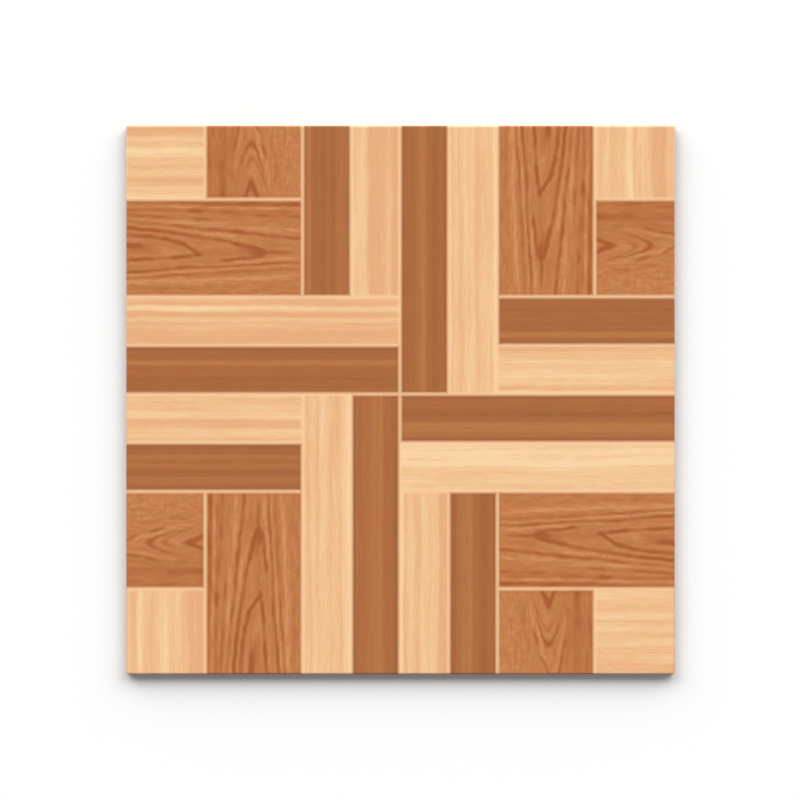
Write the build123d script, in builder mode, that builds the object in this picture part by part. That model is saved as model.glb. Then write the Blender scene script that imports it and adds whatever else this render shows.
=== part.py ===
"""Wood-look floor tile: one square of dry-pressed, glazed and fired clay.

The face is flat, with its four edges and corners eased by one small radius. The sides are straight down to a
bevel round the back, where the press mould parts. The back is keyed for its bed of adhesive: rows of shallow
square cells with drafted walls, divided by ribs and framed by a border, all flush with the plane that the tile
lies on. The parquet pattern is printed under the glaze, so it has no relief.

Millimetres, +Z up. The origin is the middle of the back, on the plane that the tile lies on.
"""

import os

from build123d import *

# Driving dimensions of the pressed body
tile_side = 396.0  # work size of a nominal 400 tile, which leaves room for a grout joint
tile_thickness = 8.0  # from the plane that the ribs lie on to the glazed face
edge_radius = 1.2  # round the face's edges and down the four corners
back_bevel = 0.6  # 45 degree bevel round the back

# Driving dimensions of the keyed back
key_cell = 40.0  # width of a cell at its mouth
key_rib = 6.0  # between two cells
key_depth = 0.5  # from the ribs to the floor of a cell
key_draft = 40.0  # slope of a cell's walls, in degrees from straight up
key_corner_radius = 2.5  # in plan, at the mouth

# A row holds as many whole cells as fit with at least a rib's width of border at each end
key_pitch = key_cell + key_rib
cells_per_row = int((tile_side - key_rib) // key_pitch)

with BuildPart() as tile:
    # Pressed slab
    with BuildSketch():
        Rectangle(tile_side, tile_side)
    extrude(amount=tile_thickness)
    face_edges = tile.faces().sort_by(Axis.Z)[-1].edges()
    corner_edges = tile.edges().filter_by(Axis.Z)
    fillet(face_edges + corner_edges, radius=edge_radius)
    chamfer(tile.faces().sort_by(Axis.Z)[0].edges(), length=back_bevel)

    # Keyed back: the cells narrow as they go in, so that the tile leaves its mould
    with BuildSketch():
        with GridLocations(key_pitch, key_pitch, cells_per_row, cells_per_row):
            RectangleRounded(key_cell, key_cell, key_corner_radius)
    extrude(amount=key_depth, taper=key_draft, mode=Mode.SUBTRACT)

tile.part.label = "tile"

os.makedirs("parts", exist_ok=True)
export_step(tile.part, "parts/tile.step")
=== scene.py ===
import math

import bmesh
import bpy
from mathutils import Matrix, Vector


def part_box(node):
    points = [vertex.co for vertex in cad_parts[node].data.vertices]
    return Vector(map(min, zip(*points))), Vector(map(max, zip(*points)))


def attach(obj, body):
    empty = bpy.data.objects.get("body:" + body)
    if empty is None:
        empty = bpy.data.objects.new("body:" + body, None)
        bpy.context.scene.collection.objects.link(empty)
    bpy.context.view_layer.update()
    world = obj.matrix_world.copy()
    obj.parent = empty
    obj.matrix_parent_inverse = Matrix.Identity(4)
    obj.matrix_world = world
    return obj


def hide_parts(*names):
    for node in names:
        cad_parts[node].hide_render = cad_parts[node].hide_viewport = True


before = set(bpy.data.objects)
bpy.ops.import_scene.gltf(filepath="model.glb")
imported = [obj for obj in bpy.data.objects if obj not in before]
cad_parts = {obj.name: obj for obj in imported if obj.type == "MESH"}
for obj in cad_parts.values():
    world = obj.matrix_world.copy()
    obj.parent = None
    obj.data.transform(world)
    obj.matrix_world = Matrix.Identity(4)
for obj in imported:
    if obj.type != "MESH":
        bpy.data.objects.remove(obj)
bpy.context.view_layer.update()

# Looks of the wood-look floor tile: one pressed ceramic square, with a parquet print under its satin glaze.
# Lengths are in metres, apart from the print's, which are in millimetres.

MM = 0.001
tile_low, tile_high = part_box("tile")
TILE_SIDE = tile_high.x - tile_low.x
TILE_THICKNESS = tile_high.z - tile_low.z

# Form of the pressed body, as in the solid
EDGE_RADIUS = 1.2 * MM
EDGE_SEGMENTS = 5
BACK_BEVEL = 0.6 * MM
KEY_CELL = 40 * MM
KEY_RIB = 6 * MM
KEY_DEPTH = 0.5 * MM
KEY_DRAFT = math.radians(40)
KEY_CORNER_RADIUS = 2.5 * MM
KEY_CORNER_SEGMENTS = 3

# Places this close count as one. The other two are heights of a face's normal: within the first of level the
# face is upright, and below the second it looks straight down.
TOUCH = 0.01 * MM
UPRIGHT_LEAN = 0.02
STRAIGHT_DOWN = -0.99

# Layout of the print, in millimetres. It repeats by quarter turns about a middle that sits off the tile's
# own.
MODULE = 35.16
PRINT_MIDDLE = (-0.4, 4.3)
OAK_START = 2 * MODULE
OAK_SPLIT = 4 * MODULE
CORNER_ROW = 4.0
CORNER_WIDTH = 54.0
# Each joint: the way that it is measured in, its place, and where it begins along the other way, in modules
JOINTS = (
    ("out", 0, 0),
    ("up", 0, 0),
    ("up", 1, 0),
    ("up", 2, 0),
    ("out", 1, 2),
    ("out", 2, 2),
    ("up", 4, 2),
    ("out", 4, 4),
)
JOINT_WIDTH = 2.4
JOINT_SOFTNESS = 2.5
JOINT_COVER = 0.82
JOINT_COLOUR = "#f9c99a"

# Brown boards are a little darker along their edges, between these distances from a joint's middle
EDGE_SHADE = "#f3eee8"
EDGE_SHADE_START = JOINT_WIDTH / 2 + 2.2
EDGE_SHADE_FULL = JOINT_WIDTH / 2 + 0.6

# Hue of the printing ink, which wanders between rosy and green in patches of this length and width along the
# grain, and less on light boards
INK_PATCH = (20, 6.0)
INK_TONES = ((0.35, "#fff8fd"), (0.65, "#fbfff4"))
INK_ON_LIGHT = 0.6
INK_ON_BROWN = 1.0

# Colours of the woods, by tone
LIGHT_TONES = ((0.2, "#e7ad7f"), (0.38, "#edb888"), (0.5, "#f1c190"), (0.64, "#f4ca9a"), (0.8, "#fad5a6"))
DARK_TONES = ((0.12, "#9e5f35"), (0.52, "#ac6a3d"), (0.97, "#ba7a47"))
OAK_TONES = (
    (0.0, "#a65b2c"),
    (0.16, "#ae6435"),
    (0.36, "#b76f3f"),
    (0.52, "#bd7745"),
    (0.64, "#c27b4a"),
    (0.76, "#c6814f"),
    (0.9, "#cd8958"),
    (1.0, "#d2905f"),
)

# Streaks of the light and dark boards: length and width in millimetres, detail, and weight. The finest are
# wider than real fibres, which would be too fine to show.
LIGHT_STREAKS = (
    (220, 3.0, 3.0, 0.35),
    (45, 1.2, 1.0, 0.3),
    (9, 1.4, 1.0, 0.3),
    (90, 6.0, 1.0, 0.35),
)
DARK_STREAKS = (
    (240, 2.6, 2.0, 0.45),
    (18, 1.4, 1.0, 0.4),
)
STREAK_ROUGHNESS = 0.55

# Light boards' bands drift within this width, over about this length, and keep inside their own board
DRIFT = 5.0
DRIFT_LENGTH = 70
BAND_SHARES = (0.02, 0.98)

# Steps between the seeds of the boards' noise
QUARTER_SEED = 3.1
SHORT_STRIP_SEED = 31.7

# Texture of the oak: length, width and detail of each kind of mark, drawn as coarse as they need to show
OAK_FIBRE = (20, 1.9, 3.0)
OAK_PORE = (6, 1.3, 1.0)
OAK_BLOTCH = (16, 4.0, 2.0)
OAK_FLECK = (5, 4.0, 1.5)
FIBRE_WEIGHT = 0.45
RAGGED_LEVEL = 0.72
RAGGED_WEIGHT = 0.7
# Drawn lines wander within this width, in waves of this length and width
LINE_WANDER = 2.0
LINE_WAVES = (8, 5.0)
# The plank is even in tone and blotched along one side, and the block pales and is flecked towards one side
PLANK_LEVEL = 0.59
PLANK_BLOTCHES = (0.7, 1.2)
BLOTCHED_SIDE = (-23.0, -27.0)
BLOCK_LEVELS = (0.72, 0.5)
BLOCK_BLOTCHES = 0.4
BLOCK_FLECKS = (0.0, 0.8)
FLECKED_SIDE = (-8.0, -18.0)

# Bands of the boards, drawn from a board's inner edge to its outer one: a share of its width, and how
# pale it is there. The quarters follow one another: far left, far right, near right, near left.
LONG_LIGHT_BANDS = (
    ((0.08, 0.20), (0.27, 0.22), (0.36, 0.37), (0.44, 0.28), (0.52, 0.52), (0.62, 0.20), (0.75, 0.67),
     (0.84, 0.30), (0.96, 0.52)),
    ((0.04, 0.62), (0.10, 0.42), (0.16, 0.55), (0.23, 0.42), (0.36, 0.57), (0.50, 0.54), (0.59, 0.41),
     (0.72, 0.53), (0.85, 0.46), (0.95, 0.72)),
    ((0.05, 0.66), (0.13, 0.64), (0.22, 0.84), (0.32, 0.72), (0.41, 0.84), (0.49, 0.60), (0.58, 0.57),
     (0.70, 0.64), (0.79, 0.60), (0.87, 0.56), (0.96, 0.66)),
    ((0.05, 0.70), (0.16, 0.58), (0.27, 0.42), (0.40, 0.40), (0.50, 0.54), (0.60, 0.54), (0.68, 0.40),
     (0.77, 0.56), (0.86, 0.40), (0.96, 0.60)),
)
SHORT_LIGHT_BANDS = (
    ((0.04, 0.50), (0.10, 0.22), (0.24, 0.38), (0.32, 0.24), (0.56, 0.23), (0.66, 0.46), (0.80, 0.56),
     (0.90, 0.50), (0.96, 0.72)),
    ((0.05, 0.78), (0.13, 0.28), (0.22, 0.54), (0.45, 0.62), (0.55, 0.52), (0.65, 0.62), (0.71, 0.42),
     (0.79, 0.42), (0.93, 0.28)),
    ((0.05, 0.74), (0.13, 0.44), (0.21, 0.54), (0.28, 0.44), (0.35, 0.38), (0.50, 0.58), (0.60, 0.48),
     (0.67, 0.56), (0.78, 0.40), (0.91, 0.20)),
    ((0.05, 0.62), (0.14, 0.46), (0.33, 0.46), (0.45, 0.66), (0.52, 0.42), (0.61, 0.26), (0.69, 0.44),
     (0.77, 0.54), (0.86, 0.50), (0.92, 0.44), (0.97, 0.56)),
)
CORNER_BANDS = (
    ((0.04, 0.72), (0.10, 0.62), (0.18, 0.54), (0.27, 0.32), (0.37, 0.54), (0.43, 0.42), (0.56, 0.56),
     (0.64, 0.76), (0.72, 0.50), (0.78, 0.56), (0.85, 0.32), (0.96, 0.20)),
    ((0.03, 0.60), (0.10, 0.36), (0.18, 0.55), (0.26, 0.42), (0.42, 0.54), (0.48, 0.66), (0.55, 0.46),
     (0.62, 0.58), (0.70, 0.50), (0.79, 0.26), (0.91, 0.22), (0.97, 0.48)),
    ((0.05, 0.52), (0.15, 0.60), (0.25, 0.36), (0.38, 0.58), (0.47, 0.38), (0.54, 0.54), (0.61, 0.46),
     (0.73, 0.55), (0.82, 0.36), (0.90, 0.50)),
    ((0.06, 0.18), (0.14, 0.22), (0.26, 0.40), (0.37, 0.54), (0.44, 0.44), (0.51, 0.70), (0.65, 0.48),
     (0.73, 0.44), (0.79, 0.46), (0.84, 0.64), (0.88, 0.48), (0.93, 0.36), (0.98, 0.50)),
)
LONG_DARK_BANDS = (
    ((0.08, 0.54), (0.17, 0.36), (0.25, 0.36), (0.32, 0.26), (0.40, 0.47), (0.50, 0.44), (0.58, 0.52),
     (0.64, 0.88), (0.70, 0.48), (0.79, 0.42), (0.88, 0.34), (0.94, 0.24)),
    ((0.08, 0.32), (0.18, 0.44), (0.27, 0.46), (0.36, 0.54), (0.42, 0.74), (0.49, 0.82), (0.56, 0.46),
     (0.64, 0.42), (0.73, 0.30), (0.82, 0.44), (0.88, 0.50), (0.94, 0.28)),
    ((0.08, 0.34), (0.16, 0.52), (0.25, 0.46), (0.33, 0.40), (0.41, 0.24), (0.47, 0.34), (0.53, 0.46),
     (0.58, 0.54), (0.64, 0.86), (0.71, 0.82), (0.78, 0.72), (0.85, 0.62), (0.94, 0.30)),
    ((0.08, 0.26), (0.16, 0.40), (0.26, 0.46), (0.33, 0.60), (0.40, 0.76), (0.50, 0.74), (0.58, 0.66),
     (0.66, 0.60), (0.76, 0.56), (0.86, 0.52), (0.94, 0.26)),
)
SHORT_DARK_BANDS = (
    ((0.08, 0.56), (0.20, 0.64), (0.30, 0.54), (0.38, 0.32), (0.45, 0.60), (0.52, 0.46), (0.58, 0.30),
     (0.66, 0.44), (0.75, 0.46), (0.82, 0.58), (0.88, 0.82), (0.94, 0.44)),
    ((0.08, 0.38), (0.15, 0.56), (0.22, 0.86), (0.28, 0.64), (0.36, 0.40), (0.46, 0.42), (0.58, 0.43),
     (0.66, 0.42), (0.73, 0.30), (0.80, 0.42), (0.88, 0.44), (0.93, 0.52)),
    ((0.08, 0.30), (0.16, 0.52), (0.24, 0.58), (0.32, 0.72), (0.40, 0.76), (0.46, 0.80), (0.51, 0.48),
     (0.58, 0.44), (0.66, 0.32), (0.75, 0.30), (0.83, 0.42), (0.88, 0.48), (0.94, 0.26)),
    ((0.08, 0.28), (0.16, 0.42), (0.22, 0.42), (0.29, 0.74), (0.36, 0.50), (0.42, 0.56), (0.49, 0.72),
     (0.55, 0.50), (0.62, 0.34), (0.68, 0.46), (0.77, 0.66), (0.85, 0.50), (0.93, 0.28)),
)

# Profile of a grain line, from its middle to the end of its flanks, which are this many widths away: dark,
# then a little paler than the wood, then level with it
LINE_FLANK = 2.4
LINE_LEVEL = 0.13
LINE_PROFILE = (
    (0, 1),
    (0.1, 0.95),
    (0.21, 0.6),
    (0.38, 0.2),
    (0.5, 0.02),
    (0.62, 0.04),
    (0.8, 0.1),
    (1, LINE_LEVEL),
)
# Grain lines of the oak, drawn one by one. Each has a width and a shade, which is negative where the line is
# pale, and its points: millimetres along the grain, millimetres across it, and strength.
PLANK_REACH = ((0, 136), (-36, 36))
PLANK_LINES = (
    # inner arch: tail, filled tip, upper side and lower side
    (1.9, 0.8, ((6, -3.6, 0), (10, -3.4, 0.5), (16, -3.2, 0.75), (21, -3.1, 0.8), (26, -3.4, 0.9),
                (31, -3.6, 0))),
    (5.0, 0.8, ((25, -3.8, 0), (28, -3.9, 0.8), (33, -3.2, 1), (37, -2.2, 0.8), (42, -1.2, 0.45),
                (52, 0.0, 0))),
    (2.4, 1.0, ((26, -2.6, 0), (30, -1.4, 0.7), (35, 0.6, 0.8), (41, 1.6, 0.7), (48, 2.8, 1),
                (53, 4.2, 0.6), (60, 6.0, 0.7), (66, 6.9, 0.4), (74, 8.2, 0.6), (84, 9.6, 0.6),
                (94, 11.2, 0.6), (103, 12.4, 0.9), (112, 13.2, 1), (134, 14.8, 0.9))),
    (2.0, 0.9, ((27, -6.2, 0), (33, -7.0, 0.5), (41, -7.6, 0.8), (46, -7.8, 1), (50, -8.3, 0.7),
                (54, -8.9, 0.95), (58, -9.5, 0.5), (63, -10.2, 0))),
    # outer arch: upper side, lower side and heart
    (2.5, 1.0, ((73, -5.2, 0), (76, -3.7, 0.9), (79, -1.6, 1), (83, 1.0, 0.9), (87, 3.4, 1), (91, 4.7, 0.7),
                (97, 6.0, 0.95), (102, 6.7, 0.85), (105, 7.8, 0.7), (110, 8.4, 0.95), (117, 8.8, 0.8),
                (124, 9.2, 0.5), (134, 9.4, 0.4))),
    (2.1, 1.0, ((70, -4.6, 0), (75, -4.9, 0.75), (82, -5.9, 0.85), (88, -6.4, 1), (93, -7.0, 0.8),
                (100, -7.1, 0.4), (108, -7.6, 0.8), (116, -8.1, 1), (124, -8.7, 0.7), (134, -9.4, 0.6))),
    (4.6, 0.55, ((104, -1.0, 0), (112, -0.8, 0.5), (120, -0.6, 0.7), (134, -0.4, 0.7))),
    (3.0, 0.7, ((112, 2.2, 0), (117, 2.0, 0.6), (122, 2.2, 1), (134, 2.4, 1))),
    # lines that pass above the arches
    (2.1, 0.9, ((0, 7.0, 0.8), (10, 7.2, 0.85), (16, 7.8, 0.4), (25, 8.9, 0.45), (33, 10.4, 0.8),
                (40, 10.7, 0.65), (47, 11.8, 0.85), (56, 12.6, 0.65), (64, 13.2, 0.8), (71, 13.6, 0.45),
                (82, 14.8, 0.6), (90, 15.9, 0.8), (98, 16.4, 0.35), (110, 17.7, 0.6), (124, 18.9, 0.4),
                (134, 19.6, 0.4))),
    (1.8, 0.7, ((65, 20.1, 0), (70, 20.5, 0.7), (76, 20.9, 0.6), (84, 21.0, 0.25), (97, 22.1, 0.35),
                (104, 22.5, 0.7), (115, 23.4, 0.65), (134, 24.2, 0.4))),
    (2.0, 0.7, ((0, 22.5, 0.65), (10, 22.8, 0.6), (20, 23.2, 0.5), (30, 23.7, 0.75), (38, 23.8, 0.4),
                (50, 24.2, 0.5), (60, 25.0, 0))),
    (2.6, 0.7, ((0, 26.0, 0.3), (16, 26.2, 0.4), (40, 26.2, 0.3), (54, 26.4, 0.5), (68, 26.8, 0.3),
                (73, 27.0, 0.5), (78, 26.9, 1), (82, 26.8, 0.9), (86, 26.7, 0.5), (100, 27.1, 0.5),
                (134, 27.7, 0.45))),
    (2.4, 0.8, ((0, 31.2, 0.9), (24, 31.4, 0.85), (46, 31.8, 0.8), (66, 31.8, 0.75), (84, 32.3, 0.6),
                (102, 32.5, 0.3), (134, 32.6, 0.25))),
    # lines that pass below the arches
    (1.8, 0.9, ((0, -10.6, 0.3), (8, -10.8, 0.55), (14, -10.6, 0.7), (22, -11.3, 0.55), (31, -11.8, 0.85),
                (40, -12.2, 0.5), (47, -12.7, 0.8), (56, -13.2, 0.5), (63, -13.9, 0.6), (76, -14.0, 0.5),
                (87, -14.0, 0.75), (95, -15.3, 0.5), (106, -16.4, 0.7), (118, -17.1, 0.8),
                (134, -18.2, 0.8))),
    (1.9, 0.7, ((0, -14.8, 0.5), (20, -15.2, 0.6), (28, -16.0, 0.3), (44, -17.0, 0.55), (58, -17.6, 0.5),
                (70, -18.5, 0.4), (84, -19.1, 0.75), (94, -19.6, 0.5), (101, -20.5, 0.8), (110, -21.2, 0.4),
                (134, -22.6, 0.4))),
    # pale bands
    (3.2, -0.5, ((0, -19.6, 0.3), (12, -20.0, 0.6), (25, -21.6, 0.9), (45, -22.3, 1), (70, -23.2, 1),
                 (100, -24.0, 0.9), (134, -25.2, 0.8))),
    (2.0, -0.4, ((0, 28.4, 0.5), (28, 28.6, 0.8), (56, 28.7, 0.7), (65, 28.9, 1), (72, 29.8, 0.2),
                 (104, 30.5, 0.5), (134, 30.4, 0.4))),
    (3.4, -0.4, ((0, 13.4, 0.7), (14, 13.0, 0.9), (26, 13.0, 0.8), (38, 14.4, 0.6), (52, 17.0, 0.7),
                 (70, 16.8, 0.8), (88, 19.0, 0.9), (100, 18.9, 0.5), (134, 21.4, 0.4))),
    (2.4, -0.4, ((38, 5.4, 0), (46, 7.2, 0.8), (56, 9.3, 0.7), (70, 10.0, 0.8), (88, 13.0, 0.8),
                 (104, 14.8, 0.5), (134, 17.0, 0.4))),
    (2.4, -0.4, ((4, -7.0, 0.4), (12, -7.8, 0.9), (21, -7.9, 1), (28, -8.9, 0.6), (42, -10.1, 0.9),
                 (54, -10.8, 0.5), (64, -11.4, 0.2))),
    (2.0, -0.4, ((0, -13.0, 0.2), (26, -13.5, 0.6), (50, -14.8, 0.6), (70, -16.2, 0.7), (90, -17.3, 0.6),
                 (108, -18.6, 0.7), (134, -20.2, 0.5))),
    (4.0, -0.4, ((78, -2.5, 0), (86, -2.8, 0.7), (95, -3.2, 0.8), (104, -3.4, 0))),
)
BLOCK_REACH = ((0, 64), (-36, 36))
BLOCK_LINES = (
    # sides of the outer chevron
    (2.2, 0.75, ((28, -9.0, 0), (31, -8.3, 0.7), (35, -7.2, 0.95), (40, -6.1, 0.6), (45, -5.2, 0.2),
                 (48, -4.4, 0.3), (50, -3.1, 0.8), (53, -1.5, 1), (62, 2.4, 0.9))),
    (2.2, 0.7, ((32, 15.2, 0), (36, 14.1, 0.3), (40, 13.2, 0.7), (45, 12.3, 0.5), (50, 11.4, 0.95),
                (54, 10.8, 0.9), (62, 8.4, 0.8))),
    # sides of the rounded chevron
    (2.4, 0.3, ((4, 13.2, 0.2), (14, 11.8, 0.5), (22, 9.9, 0.8), (28, 8.4, 0.9), (34, 6.6, 0.5),
                (38, 5.0, 0))),
    (2.2, 0.3, ((13, -9.6, 0), (20, -7.2, 0.6), (27, -4.8, 0.9), (33, -2.9, 0.6), (38, -1.2, 0))),
    # straight grain at the sides
    (9.0, 0.2, ((0, 22.6, 0.9), (20, 22.8, 1), (40, 23.6, 0.8), (62, 24.0, 0.7))),
    (3.2, 0.45, ((0, 22.4, 0.9), (12, 22.4, 0.9), (19, 22.6, 0.6), (25, 22.5, 0.7), (30, 22.6, 0.2),
                 (62, 23.0, 0.2))),
    (1.8, 0.5, ((14, 31.4, 0.3), (21, 31.6, 0.5), (31, 32.0, 0.7), (38, 32.2, 0.3), (62, 32.4, 0.2))),
    (2.0, 0.6, ((42, 29.0, 0), (48, 29.5, 0.6), (62, 29.6, 0.7))),
    (2.4, 0.5, ((12, 15.4, 0), (18, 15.5, 0.7), (24, 15.8, 0.2), (34, 17.0, 0.5), (45, 16.0, 0.6),
                (62, 13.0, 0.3))),
    (2.2, 0.4, ((26, 20.0, 0), (40, 20.4, 0.6), (50, 20.0, 0.3), (62, 20.0, 0.3))),
    (2.4, 0.5, ((10, -15.4, 0), (15, -15.6, 0.8), (22, -16.2, 0.5), (32, -15.2, 0.4), (40, -12.6, 0.5),
                (46, -12.2, 0))),
    # pale bands between the chevrons
    (2.4, -0.3, ((12, 16.4, 0), (22, 14.2, 0.5), (30, 12.5, 0.8), (38, 11.0, 0.9), (46, 9.6, 0.9),
                 (54, 8.2, 0.9), (62, 6.5, 0.6))),
    (2.6, -0.3, ((10, -11.4, 0.2), (14, -10.4, 0.6), (23, -8.9, 0.7), (29, -6.9, 1), (37, -4.6, 0.9),
                 (45, -2.9, 1), (51, -1.6, 0.9), (62, 2.0, 0.4))),
    (4.0, -0.2, ((14, 2.0, 0), (19, 1.6, 0.7), (24, 1.4, 0.6), (28, 1.2, 0))),
    (5.0, -0.2, ((43, 2.5, 0), (48, 2.8, 0.7), (62, 3.0, 0.6))),
)
# The block's chevrons are drawn across the grain, so their points are across, along and strength
CHEVRON_REACH = ((-36, 36), (0, 64))
CHEVRON_LINES = (
    # inner, faint and rounded chevron
    (7.0, 1.0, ((-5.0, -4.0, 0), (-3.8, -1.0, 1), (-2.4, 2.0, 1), (-1.3, 5.0, 1), (0.2, 8.4, 1),
                (1.9, 10.8, 1), (3.7, 8.4, 1), (4.8, 5.0, 1), (6.0, 2.0, 1), (7.4, -1.0, 1),
                (8.6, -4.0, 0))),
    (3.6, 0.6, ((-9.6, 8.0, 0), (-8.6, 11.0, 0.6), (-6.9, 15.6, 0.85), (-4.6, 20.0, 0.65),
                (-1.5, 26.0, 0.65), (-0.3, 28.4, 0.55), (1.1, 29.6, 0.7), (2.6, 28.6, 0.6),
                (5.0, 24.8, 0.45), (6.6, 21.0, 0))),
    (4.2, 0.75, ((-8.0, 20.0, 0), (-5.0, 27.0, 0.35), (-3.2, 33.0, 0.6), (-2.2, 36.0, 0.8),
                 (-0.9, 38.4, 0.95), (0.6, 39.8, 1), (2.0, 40.2, 1), (3.4, 39.6, 1), (4.6, 38.0, 0.95),
                 (5.7, 35.8, 0.8), (7.3, 32.0, 0.5), (9.4, 26.8, 0.3), (10.8, 21.6, 0))),
)

# Glaze. Its orange peel is drawn coarser than most, because a finer one wouldn't show.
PEEL_SIZE = 3 * MM
PEEL_RANGE = (0.3, 0.7)
PEEL_DEPTH = 0.02 * MM
PEEL_STRENGTH = 0.3
GLAZE_ROUGHNESS = (0.4, 0.5)
GLAZE_IOR = 1.5
GLAZE_SPECULAR = 0.3

# Fired clay. Its grit is drawn coarser than real sand grains, so that it shows.
CLAY_TONES = ((0.15, "#7d4a30"), (0.45, "#96603f"), (0.7, "#a87150"), (0.9, "#bd8b68"))
CLAY_LEVEL = 0.5
CLAY_ROUGHNESS = 0.9
GRIT_SIZE = 0.9 * MM
GRIT_DEPTH = 0.15 * MM
GRIT_STRENGTH = 0.6
GRIT_WEIGHT = 0.8
CLOUD_SIZE = 26 * MM
CLOUD_WEIGHT = 0.7
UNDER_GLAZE_COLOUR = "#c9a283"
UNDER_GLAZE_SHARE = 0.5
UNDER_GLAZE_START = TILE_THICKNESS - 2.6 * MM
WASH_COLOUR = "#d8cfc4"
WASH_SIZE = 14 * MM
WASH_RANGE = (0.42, 0.66)
WASH_SHARE = 0.6
WASH_HEIGHTS = (0.2 * MM, 0.05 * MM)

# Stage and light
CAMERA_LENS = 200.0
CAMERA_SENSOR = 36.0
VIEW_WIDTH = 577.6 * MM
CAMERA_ASIDE = -0.36 * MM
FLOOR_SIDE = 12.0
FLOOR_BOUNCE = 0.5
SKY_SHARE = 0.25
LAMP_ELEVATION = math.radians(25)
LAMP_SPREAD = math.radians(60)
LAMP_ASIDE = math.radians(35)

# Unwrapped map for baking: shares of its side
MAP_MARGIN = 0.005
FACE_SHARE = 0.76
BACK_WIDTH = 0.21
SIDE_HEIGHT = 0.05
SIDES = ((1, 0), (-1, 0), (0, 1), (0, -1))


def linear(colour):
    """An sRGB hex colour as linear red, green, blue and alpha."""
    parts = [int(colour[i : i + 2], 16) / 255 for i in (1, 3, 5)]
    return [c / 12.92 if c <= 0.04045 else ((c + 0.055) / 1.055) ** 2.4 for c in parts] + [1.0]


def add(tree, kind, *feeds, stops=(), points=(), **settings):
    """Adds a node. Each feed sets or links the next shown socket. A setting is a socket's or the node's own,
    by name. Stops are a ramp's places and colours, and points are a curve's, level past its ends."""
    node = tree.nodes.new("ShaderNode" + kind)
    for name, value in settings.items():
        if name not in node.inputs:
            setattr(node, name, value)
    pairs = list(zip([s for s in node.inputs if s.enabled], feeds))
    pairs += [(node.inputs[name], value) for name, value in settings.items() if name in node.inputs]
    for socket, feed in pairs:
        if isinstance(feed, bpy.types.Node):
            feed = next(s for s in feed.outputs if s.enabled)
        if isinstance(feed, bpy.types.NodeSocket):
            tree.links.new(feed, socket)
        else:
            socket.default_value = feed
    for i, (place, colour) in enumerate(stops):
        elements = node.color_ramp.elements
        element = elements[i] if i < len(elements) else elements.new(place)
        element.position = place
        element.color = linear(colour)
    for i, place in enumerate(points):
        line = node.mapping.curves[0].points
        point = line[i] if i < len(line) else line.new(*place)
        point.location = place
        point.handle_type = "AUTO_CLAMPED"
    if points:
        node.mapping.extend = "HORIZONTAL"
        node.mapping.update()
    return node


def new_material(name):
    """An empty node material, and its tree."""
    material = bpy.data.materials.new(name)
    material.use_nodes = True
    material.node_tree.nodes.clear()
    return material, material.node_tree


def share(value, span):
    """Where a value lies in a span, from 0 to 1."""
    return (value - span[0]) / (span[1] - span[0])


def fold_quarters(tree, place):
    """Folds the print's quarters onto one. Gives millimetres out along its long strips, millimetres up
    across them, and the number of the quarter, clockwise from the far left."""
    middle = (-PRINT_MIDDLE[0], -PRINT_MIDDLE[1], 0)
    in_mm = add(tree, "Mapping", place, middle, Scale=(1 / MM, 1 / MM, 1 / MM))
    split = add(tree, "SeparateXYZ", in_mm)
    x, y = split.outputs["X"], split.outputs["Y"]
    product = add(tree, "Math", x, y, operation="MULTIPLY")
    turned = add(tree, "Math", product, 0.0, operation="GREATER_THAN")
    x_away = add(tree, "Math", x, operation="ABSOLUTE")
    y_away = add(tree, "Math", y, operation="ABSOLUTE")
    out = add(tree, "Mix", turned, x_away, y_away)
    up = add(tree, "Mix", turned, y_away, x_away)
    near = add(tree, "Math", y, 0.0, operation="LESS_THAN")
    quarter = add(tree, "Math", near, 2.0, turned, operation="MULTIPLY_ADD")
    return out, up, quarter


def joint_distance(tree, out, up):
    """Millimetres to the middle of the nearest printed joint."""
    nearest = None
    for way, place, begins in JOINTS:
        over, beside = (out, up) if way == "out" else (up, out)
        apart = add(tree, "Math", over, place * MODULE, operation="SUBTRACT")
        apart = add(tree, "Math", apart, operation="ABSOLUTE")
        short_of = add(tree, "Math", begins * MODULE, beside, operation="SUBTRACT")
        apart = add(tree, "Math", apart, short_of, operation="MAXIMUM")
        nearest = add(tree, "Math", nearest, apart, operation="MINIMUM") if nearest else apart
    return nearest


def streaks(tree, along, across, seed, length, width, detail=2.0):
    """Noise drawn out along the grain, in streaks of about this length and width in millimetres."""
    place = add(tree, "CombineXYZ", along, across, seed)
    place = add(tree, "Mapping", place, Scale=(1 / length, 1 / width, 1))
    return add(tree, "TexNoise", place, Scale=1.0, Detail=detail, Roughness=STREAK_ROUGHNESS)


def weigh(tree, level, *parts):
    """A level plus weighted noise: each part is a noise and its weight about the noise's own middle."""
    for noise, weight in parts:
        swing = add(tree, "Math", noise, 0.5, operation="SUBTRACT")
        level = add(tree, "Math", swing, weight, level, operation="MULTIPLY_ADD")
    return level


def drawn_bands(tree, quarter, across_share, boards):
    """How pale a board is at each place across it, from the bands drawn for its quarter."""
    points = [((i + place) / len(boards), tone) for i, bands in enumerate(boards) for place, tone in bands]
    place = add(tree, "Math", quarter, across_share, operation="ADD")
    place = add(tree, "Math", place, len(boards), operation="DIVIDE")
    return add(tree, "FloatCurve", 1.0, place, points=points)


def streaked(tree, along, across, seed, bands, layers):
    """The tone of a board's bands with layers of streaks laid over them."""
    noises = [(streaks(tree, along, across, seed, *size), weight) for *size, weight in layers]
    return weigh(tree, bands, *noises)


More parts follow.
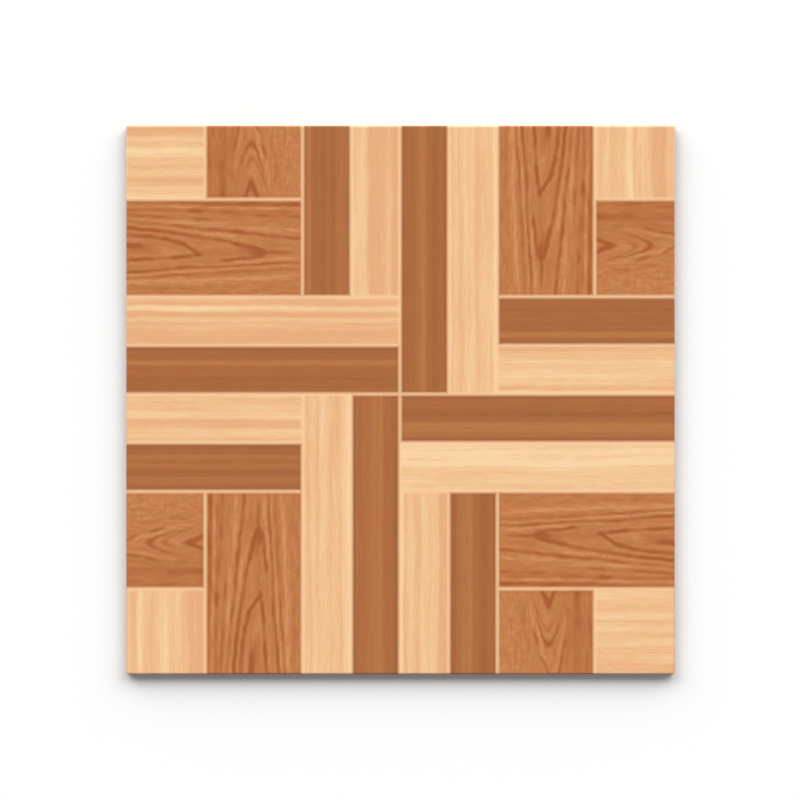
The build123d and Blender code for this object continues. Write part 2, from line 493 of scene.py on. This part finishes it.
def grain_lines(tree, along, across, lines, reach):
    """How dark the drawn grain lines are at each place."""
    along_span, across_span = reach
    along_share = add(tree, "MapRange", along, *along_span, 0.0, 1.0)
    across_share = add(tree, "MapRange", across, *across_span, 0.0, 1.0)
    total = 0.0
    for width, shade, points in lines:
        route = [(share(p[0], along_span), share(p[1], across_span)) for p in points]
        strength = [(share(p[0], along_span), p[2]) for p in points]
        flank = LINE_FLANK * width / (across_span[1] - across_span[0])
        route = add(tree, "FloatCurve", 1.0, along_share, points=route)
        strength = add(tree, "FloatCurve", 1.0, along_share, points=strength)
        apart = add(tree, "Math", across_share, route, operation="SUBTRACT")
        apart = add(tree, "Math", apart, operation="ABSOLUTE")
        apart = add(tree, "MapRange", apart, 0.0, flank, 0.0, 1.0)
        profile = add(tree, "FloatCurve", 1.0, apart, points=LINE_PROFILE)
        profile = add(tree, "MapRange", profile, LINE_LEVEL, 1.0, 0.0, shade, clamp=False)
        total = add(tree, "Math", profile, strength, total, operation="MULTIPLY_ADD")
    return total


def oak_wood(tree, along, across, seed, lines, level, blotches, flecks):
    """Oak: drawn lines with ragged edges over fine fibres and pores, as blotched and flecked as is given."""
    fibre = streaks(tree, along, across, seed, *OAK_FIBRE)
    pore = streaks(tree, along, across, seed, *OAK_PORE)
    blotch = streaks(tree, along, across, seed, *OAK_BLOTCH)
    fleck = streaks(tree, along, across, seed, *OAK_FLECK)
    ragged = weigh(tree, RAGGED_LEVEL, (fibre, RAGGED_WEIGHT), (pore, RAGGED_WEIGHT))
    lines = add(tree, "Math", lines, ragged, operation="MULTIPLY")
    marks = ((fibre, FIBRE_WEIGHT), (pore, FIBRE_WEIGHT), (blotch, blotches), (fleck, flecks))
    tone = weigh(tree, level, *marks)
    tone = add(tree, "Math", tone, lines, operation="SUBTRACT")
    return add(tree, "ValToRGB", tone, stops=OAK_TONES)


def print_oak(tree, out, up, low_row):
    """The oak plank and the oak block, each along its own grain."""
    plank_along = add(tree, "Math", out, OAK_START, operation="SUBTRACT")
    plank_across = add(tree, "Math", up, OAK_START + MODULE, operation="SUBTRACT")
    block_along = add(tree, "Math", up, OAK_SPLIT, operation="SUBTRACT")
    block_across = add(tree, "Math", out, OAK_START + MODULE, operation="SUBTRACT")
    along = add(tree, "Mix", low_row, block_along, plank_along)
    across = add(tree, "Mix", low_row, block_across, plank_across)

    # Drawn lines, which waver a little
    waves = streaks(tree, along, across, low_row, *LINE_WAVES)
    wavy = weigh(tree, across, (waves, LINE_WANDER))
    plank = grain_lines(tree, along, wavy, PLANK_LINES, PLANK_REACH)
    sides = grain_lines(tree, along, wavy, BLOCK_LINES, BLOCK_REACH)
    chevrons = grain_lines(tree, wavy, along, CHEVRON_LINES, CHEVRON_REACH)
    block = add(tree, "Math", sides, chevrons, operation="ADD")
    lines = add(tree, "Mix", low_row, block, plank)
    lines = add(tree, "Math", lines, 1.0, operation="MINIMUM")

    # Tone and texture of the two boards
    block_level = add(tree, "MapRange", across, -MODULE, MODULE, *BLOCK_LEVELS)
    level = add(tree, "Mix", low_row, block_level, PLANK_LEVEL)
    plank_blotches = add(tree, "MapRange", across, *BLOTCHED_SIDE, *PLANK_BLOTCHES)
    blotches = add(tree, "Mix", low_row, BLOCK_BLOTCHES, plank_blotches)
    block_flecks = add(tree, "MapRange", across, *FLECKED_SIDE, *BLOCK_FLECKS)
    flecks = add(tree, "Mix", low_row, block_flecks, 0.0)
    return oak_wood(tree, along, across, low_row, lines, level, blotches, flecks)


def print_strips(tree, along, across, quarter, in_strips, short_strip):
    """The light and dark boards: long strips, short strips and corners. Gives which places are dark, the
    light wood and the dark wood."""
    row = add(tree, "Math", across, MODULE, operation="DIVIDE")
    board = add(tree, "Math", row, operation="FLOOR")
    board = add(tree, "Math", board, CORNER_ROW, operation="MINIMUM")
    dark_row = add(tree, "Math", board, short_strip, 0.5, operation="COMPARE")
    is_dark = add(tree, "Math", dark_row, in_strips, operation="MULTIPLY")
    seed = add(tree, "Math", quarter, QUARTER_SEED, board, operation="MULTIPLY_ADD")
    seed = add(tree, "Math", short_strip, SHORT_STRIP_SEED, seed, operation="MULTIPLY_ADD")

    # Light boards, whose bands drift a little from side to side
    drift = streaks(tree, along, 0.0, seed, DRIFT_LENGTH, 1)
    strayed = weigh(tree, across, (drift, DRIFT))
    from_edge = add(tree, "Math", board, -MODULE, strayed, operation="MULTIPLY_ADD")
    strip_share = add(tree, "MapRange", from_edge, 0.0, MODULE, *BAND_SHARES)
    corner_share = add(tree, "MapRange", from_edge, 0.0, CORNER_WIDTH, *BAND_SHARES)
    long_bands = drawn_bands(tree, quarter, strip_share, LONG_LIGHT_BANDS)
    short_bands = drawn_bands(tree, quarter, strip_share, SHORT_LIGHT_BANDS)
    corner_bands = drawn_bands(tree, quarter, corner_share, CORNER_BANDS)
    bands = add(tree, "Mix", in_strips, corner_bands, long_bands)
    bands = add(tree, "Mix", short_strip, bands, short_bands)
    tone = streaked(tree, along, strayed, seed, bands, LIGHT_STREAKS)
    light = add(tree, "ValToRGB", tone, stops=LIGHT_TONES)

    # Dark boards, whose bands run straight
    dark_share = add(tree, "Math", row, board, operation="SUBTRACT")
    long_bands = drawn_bands(tree, quarter, dark_share, LONG_DARK_BANDS)
    short_bands = drawn_bands(tree, quarter, dark_share, SHORT_DARK_BANDS)
    bands = add(tree, "Mix", short_strip, long_bands, short_bands)
    tone = streaked(tree, along, across, seed, bands, DARK_STREAKS)
    dark = add(tree, "ValToRGB", tone, stops=DARK_TONES)
    return is_dark, light, dark


def glazed_print():
    """Satin glaze over a printed parquet."""
    # Ceramic inks under a thin fired glaze: wood colours with no relief to the eye, and a soft, even shine
    material, tree = new_material("satin_glaze_over_parquet_print")
    place = add(tree, "TexCoord").outputs["Object"]
    out, up, quarter = fold_quarters(tree, place)

    # Which piece of the pattern a place is in, and which way its grain runs
    long_strip = add(tree, "Math", up, OAK_START, operation="LESS_THAN")
    near_middle = add(tree, "Math", out, OAK_START, operation="LESS_THAN")
    in_strips = add(tree, "Math", long_strip, near_middle, operation="MAXIMUM")
    short_strip = add(tree, "Math", near_middle, long_strip, operation="GREATER_THAN")
    low_row = add(tree, "Math", up, OAK_SPLIT, operation="LESS_THAN")
    near_column = add(tree, "Math", out, OAK_SPLIT, operation="LESS_THAN")
    inside_corner = add(tree, "Math", low_row, near_column, operation="MAXIMUM")
    is_oak = add(tree, "Math", inside_corner, in_strips, operation="SUBTRACT")
    upper_column = add(tree, "Math", near_column, low_row, operation="GREATER_THAN")
    grain_up = add(tree, "Math", short_strip, upper_column, operation="MAXIMUM")
    along = add(tree, "Mix", grain_up, out, up)
    across = add(tree, "Mix", grain_up, up, out)

    # Oak and dark boards, darker along their edges, and light boards, all in ink whose hue wanders
    is_dark, light, dark = print_strips(tree, along, across, quarter, in_strips, short_strip)
    oak = print_oak(tree, out, up, low_row)
    brown = add(tree, "Mix", is_oak, dark, oak, data_type="RGBA")
    apart = joint_distance(tree, out, up)
    edge = add(tree, "MapRange", apart, EDGE_SHADE_START, EDGE_SHADE_FULL, 0.0, 1.0)
    brown = add(tree, "Mix", edge, brown, linear(EDGE_SHADE), data_type="RGBA", blend_type="MULTIPLY")
    is_brown = add(tree, "Math", is_oak, is_dark, operation="ADD")
    wood = add(tree, "Mix", is_brown, light, brown, data_type="RGBA")
    mottle = streaks(tree, along, across, quarter, *INK_PATCH)
    ink = add(tree, "ValToRGB", mottle, stops=INK_TONES)
    ink_share = add(tree, "MapRange", is_brown, 0.0, 1.0, INK_ON_LIGHT, INK_ON_BROWN)
    wood = add(tree, "Mix", ink_share, wood, ink, data_type="RGBA", blend_type="MULTIPLY")

    # Soft pale joints between the boards
    joint_start = (JOINT_WIDTH + JOINT_SOFTNESS) / 2
    joint_full = (JOINT_WIDTH - JOINT_SOFTNESS) / 2
    joint = add(tree, "MapRange", apart, joint_start, joint_full, 0.0, JOINT_COVER,
                interpolation_type="SMOOTHSTEP")
    printed = add(tree, "Mix", joint, wood, linear(JOINT_COLOUR), data_type="RGBA")

    # Orange peel of the fired glaze
    peel = add(tree, "TexNoise", place, Scale=1 / PEEL_SIZE, Detail=1.0)
    bump = add(tree, "Bump", Strength=PEEL_STRENGTH, Distance=PEEL_DEPTH, Height=peel)
    sheen = add(tree, "MapRange", peel, *PEEL_RANGE, *GLAZE_ROUGHNESS)
    glaze = add(tree, "BsdfPrincipled", printed, Roughness=sheen, IOR=GLAZE_IOR, Normal=bump,
                **{"Specular IOR Level": GLAZE_SPECULAR})
    add(tree, "OutputMaterial", glaze)
    return material


def fired_clay():
    """Fired clay biscuit, left bare on the sides and the back."""
    # Pressed and fired, unglazed: a matt, gritty red-brown to the eye, clouded, paler just under the glaze,
    # and with thin patches of white kiln wash on the ribs that it was fired on
    material, tree = new_material("fired_clay_biscuit")
    place = add(tree, "TexCoord").outputs["Object"]
    grit = add(tree, "TexNoise", place, Scale=1 / GRIT_SIZE, Detail=3.0, Roughness=0.6)
    cloud = add(tree, "TexNoise", place, Scale=1 / CLOUD_SIZE, Detail=2.0)
    tone = weigh(tree, CLAY_LEVEL, (grit, GRIT_WEIGHT), (cloud, CLOUD_WEIGHT))
    body = add(tree, "ValToRGB", tone, stops=CLAY_TONES)
    height = add(tree, "SeparateXYZ", place).outputs["Z"]
    glaze_start = TILE_THICKNESS - EDGE_RADIUS
    under_glaze = add(tree, "MapRange", height, UNDER_GLAZE_START, glaze_start, 0.0, UNDER_GLAZE_SHARE)
    body = add(tree, "Mix", under_glaze, body, linear(UNDER_GLAZE_COLOUR), data_type="RGBA")
    wash = add(tree, "TexNoise", place, Scale=1 / WASH_SIZE, Detail=4.0, Roughness=0.65)
    wash = add(tree, "MapRange", wash, *WASH_RANGE, 0.0, WASH_SHARE)
    on_rib = add(tree, "MapRange", height, *WASH_HEIGHTS, 0.0, 1.0)
    wash = add(tree, "Math", wash, on_rib, operation="MULTIPLY")
    body = add(tree, "Mix", wash, body, linear(WASH_COLOUR), data_type="RGBA")
    bump = add(tree, "Bump", Strength=GRIT_STRENGTH, Distance=GRIT_DEPTH, Height=grit)
    clay = add(tree, "BsdfPrincipled", body, Roughness=CLAY_ROUGHNESS, Normal=bump)
    add(tree, "OutputMaterial", clay)
    return material


def is_back(face):
    """True for a face that looks straight down."""
    return face.normal.z < STRAIGHT_DOWN


def round_edges(slab, edges, offset, segments):
    """Bevels edges of the slab: flat with one segment, and round with more."""
    bmesh.ops.bevel(slab, geom=list(edges), offset=offset, segments=segments, profile=0.5, affect="EDGES",
                    material=-1)


def press_tile():
    """The pressed body: a slab with eased face edges, a bevelled back and rows of drafted key cells."""
    slab = bmesh.new()
    bmesh.ops.create_cube(slab, size=1.0)
    bmesh.ops.scale(slab, vec=(TILE_SIDE, TILE_SIDE, TILE_THICKNESS), verts=slab.verts)
    bmesh.ops.translate(slab, vec=(0, 0, TILE_THICKNESS / 2), verts=slab.verts)
    eased = [e for e in slab.edges if max(v.co.z for v in e.verts) > TOUCH]
    round_edges(slab, eased, EDGE_RADIUS, EDGE_SEGMENTS)
    back = next(f for f in slab.faces if is_back(f))
    round_edges(slab, back.edges, BACK_BEVEL, 1)

    # Cuts along both edges of every row of cells
    pitch = KEY_CELL + KEY_RIB
    rows = int((TILE_SIDE - KEY_RIB) / pitch)
    first = -(rows * pitch - KEY_RIB) / 2
    for i in range(rows):
        for edge in (first + i * pitch, first + i * pitch + KEY_CELL):
            for way in ((1, 0, 0), (0, 1, 0)):
                flat = [f for f in slab.faces if is_back(f)]
                geom = dict.fromkeys(part for f in flat for part in (f, *f.edges, *f.verts))
                place = [edge * w for w in way]
                bmesh.ops.bisect_plane(slab, geom=list(geom), dist=TOUCH / 10, plane_co=place, plane_no=way)

    # Cells pressed in, with rounded corners
    flat = [f for f in slab.faces if is_back(f)]
    cells = [f for f in flat if all(abs(e.calc_length() - KEY_CELL) < TOUCH for e in f.edges)]
    draft = KEY_DEPTH * math.tan(KEY_DRAFT)
    bmesh.ops.inset_individual(slab, faces=cells, thickness=draft, depth=-KEY_DEPTH, use_even_offset=True)
    near_cells = dict.fromkeys(e for f in cells for v in f.verts for e in v.link_edges)
    corners = [e for e in near_cells if abs(e.verts[0].co.z - e.verts[1].co.z) > TOUCH]
    round_edges(slab, corners, KEY_CORNER_RADIUS, KEY_CORNER_SEGMENTS)
    return slab


def lay_out(slab):
    """Unwraps the tile for baking. The face takes most of the map, with the back beside it and the sides
    above."""
    layer = slab.loops.layers.uv.new("OFBake")
    half = TILE_SIDE / 2
    beside = FACE_SHARE + 3 * MAP_MARGIN
    for face in slab.faces:
        middle = face.calc_center_median()
        normal = face.normal
        for loop in face.loops:
            x, y, z = loop.vert.co
            if face.material_index == 0:
                spread = (1 + (TILE_THICKNESS - z) / half) / (2 * (half + EDGE_RADIUS))
                u = MAP_MARGIN + FACE_SHARE * (0.5 + x * spread)
                v = MAP_MARGIN + FACE_SHARE * (0.5 + y * spread)
            elif max(abs(middle.x), abs(middle.y)) < half - BACK_BEVEL:
                u = beside + BACK_WIDTH * (0.5 - x / TILE_SIDE)
                v = MAP_MARGIN + FACE_SHARE * (0.5 + y / TILE_SIDE)
            else:
                if abs(normal.x) > abs(normal.y):
                    side = (int(math.copysign(1, normal.x)), 0)
                else:
                    side = (0, int(math.copysign(1, normal.y)))
                run = (side[0] * y - side[1] * x) / TILE_SIDE + 0.5
                foot = beside + SIDES.index(side) * (SIDE_HEIGHT + MAP_MARGIN)
                u = MAP_MARGIN + (1 - 2 * MAP_MARGIN) * run
                v = foot + SIDE_HEIGHT * z / TILE_THICKNESS
            loop[layer].uv = (u, v)


def finish_tile(slab, materials):
    """Makes the pressed body an object, glazed on its face and eased edges and bare clay elsewhere. Only the
    narrow faces of the eased edges and upright corners are shaded smooth."""
    mesh = bpy.data.meshes.new("glazed_tile")
    narrow = TILE_SIDE * EDGE_RADIUS
    for face in slab.faces:
        face.material_index = 0 if face.normal.z > UPRIGHT_LEAN else 1
        face.smooth = face.normal.z > -UPRIGHT_LEAN and face.calc_area() < narrow
    lay_out(slab)
    slab.to_mesh(mesh)
    slab.free()
    for material in materials:
        mesh.materials.append(material)
    tile = bpy.data.objects.new("glazed_tile", mesh)
    bpy.context.scene.collection.objects.link(tile)
    return tile


def seen_rays(tree):
    """1 for a ray that shows the background: the camera's own, or one that gloss or glass sends on."""
    ray = add(tree, "LightPath").outputs
    seen = add(tree, "Math", ray["Is Camera Ray"], ray["Is Glossy Ray"], operation="MAXIMUM")
    return add(tree, "Math", seen, ray["Is Transmission Ray"], operation="MAXIMUM")


def set_stage():
    """A matt white floor that keeps the tile's shadow, and throws only part of its light back."""
    sheet = bmesh.new()
    bmesh.ops.create_grid(sheet, x_segments=1, y_segments=1, size=FLOOR_SIDE / 2)
    mesh = bpy.data.meshes.new("floor")
    sheet.to_mesh(mesh)
    sheet.free()
    material, tree = new_material("white_floor")
    bounce = (FLOOR_BOUNCE, FLOOR_BOUNCE, FLOOR_BOUNCE, 1)
    shown = add(tree, "Mix", seen_rays(tree), bounce, (1, 1, 1, 1), data_type="RGBA")
    matt = add(tree, "BsdfDiffuse", shown)
    add(tree, "OutputMaterial", matt)
    mesh.materials.append(material)
    floor = bpy.data.objects.new("floor", mesh)
    bpy.context.scene.collection.objects.link(floor)


def set_light():
    """Even sky light and a pair of broad lamps, low on the far side, which lay a long soft shadow on the near
    side. Together they light the face so that colours show as written."""
    world = bpy.data.worlds.new("studio")
    bpy.context.scene.world = world
    world.use_nodes = True
    tree = world.node_tree
    tree.nodes.clear()
    strength = add(tree, "Mix", seen_rays(tree), SKY_SHARE, 1.0)
    sky = add(tree, "Background", (1, 1, 1, 1), strength)
    add(tree, "OutputWorld", sky)
    for name, aside in (("left_lamp", LAMP_ASIDE), ("right_lamp", -LAMP_ASIDE)):
        light = bpy.data.lights.new(name, "SUN")
        light.energy = (1 - SKY_SHARE) / 2 * math.pi / math.sin(LAMP_ELEVATION)
        light.angle = LAMP_SPREAD
        lamp = bpy.data.objects.new(name, light)
        lamp.rotation_euler = (LAMP_ELEVATION - math.pi / 2, 0, aside)
        lamp.visible_glossy = False
        bpy.context.scene.collection.objects.link(lamp)


def set_camera():
    """A long lens straight above the tile, with +Y at the top of the picture."""
    lens = bpy.data.cameras.new("camera")
    lens.lens = CAMERA_LENS
    lens.sensor_width = CAMERA_SENSOR
    camera = bpy.data.objects.new("camera", lens)
    distance = VIEW_WIDTH * CAMERA_LENS / CAMERA_SENSOR
    camera.location = (CAMERA_ASIDE, 0, TILE_THICKNESS + distance)
    bpy.context.scene.collection.objects.link(camera)
    bpy.context.scene.camera = camera


tile = finish_tile(press_tile(), (glazed_print(), fired_clay()))
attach(tile, "root")
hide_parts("tile")
set_stage()
set_light()
set_camera()
bpy.context.scene.view_settings.view_transform = "Standard"
